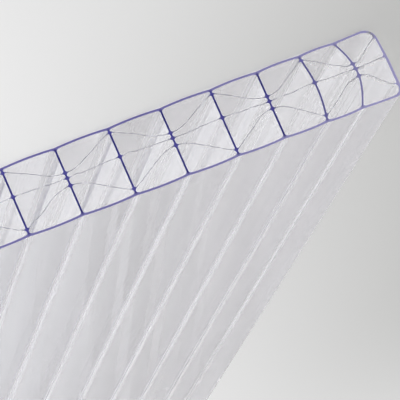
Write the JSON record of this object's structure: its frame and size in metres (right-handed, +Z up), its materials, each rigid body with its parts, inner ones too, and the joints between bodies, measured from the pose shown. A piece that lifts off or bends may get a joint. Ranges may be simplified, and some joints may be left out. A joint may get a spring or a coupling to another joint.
{
  "type": "multiwall polycarbonate sheet",
  "caption": "Long flat glazing sheet with hollow channels along its length, upright webs, crossing thin inner walls and rounded closed side edges.",
  "frame": {"origin": "middle of the underside", "axes": "+Y along the channels, +X across the sheet from one closed side edge to the other, +Z up through the thickness"},
  "size_m": [0.98, 2, 0.025],
  "materials": {
    "clear_polycarbonate": "clear, glossy, with faint haze and bluish violet cut ends"
  },
  "bodies": {
    "root": {"sheet": "clear_polycarbonate"}
  },
  "joints": []
}
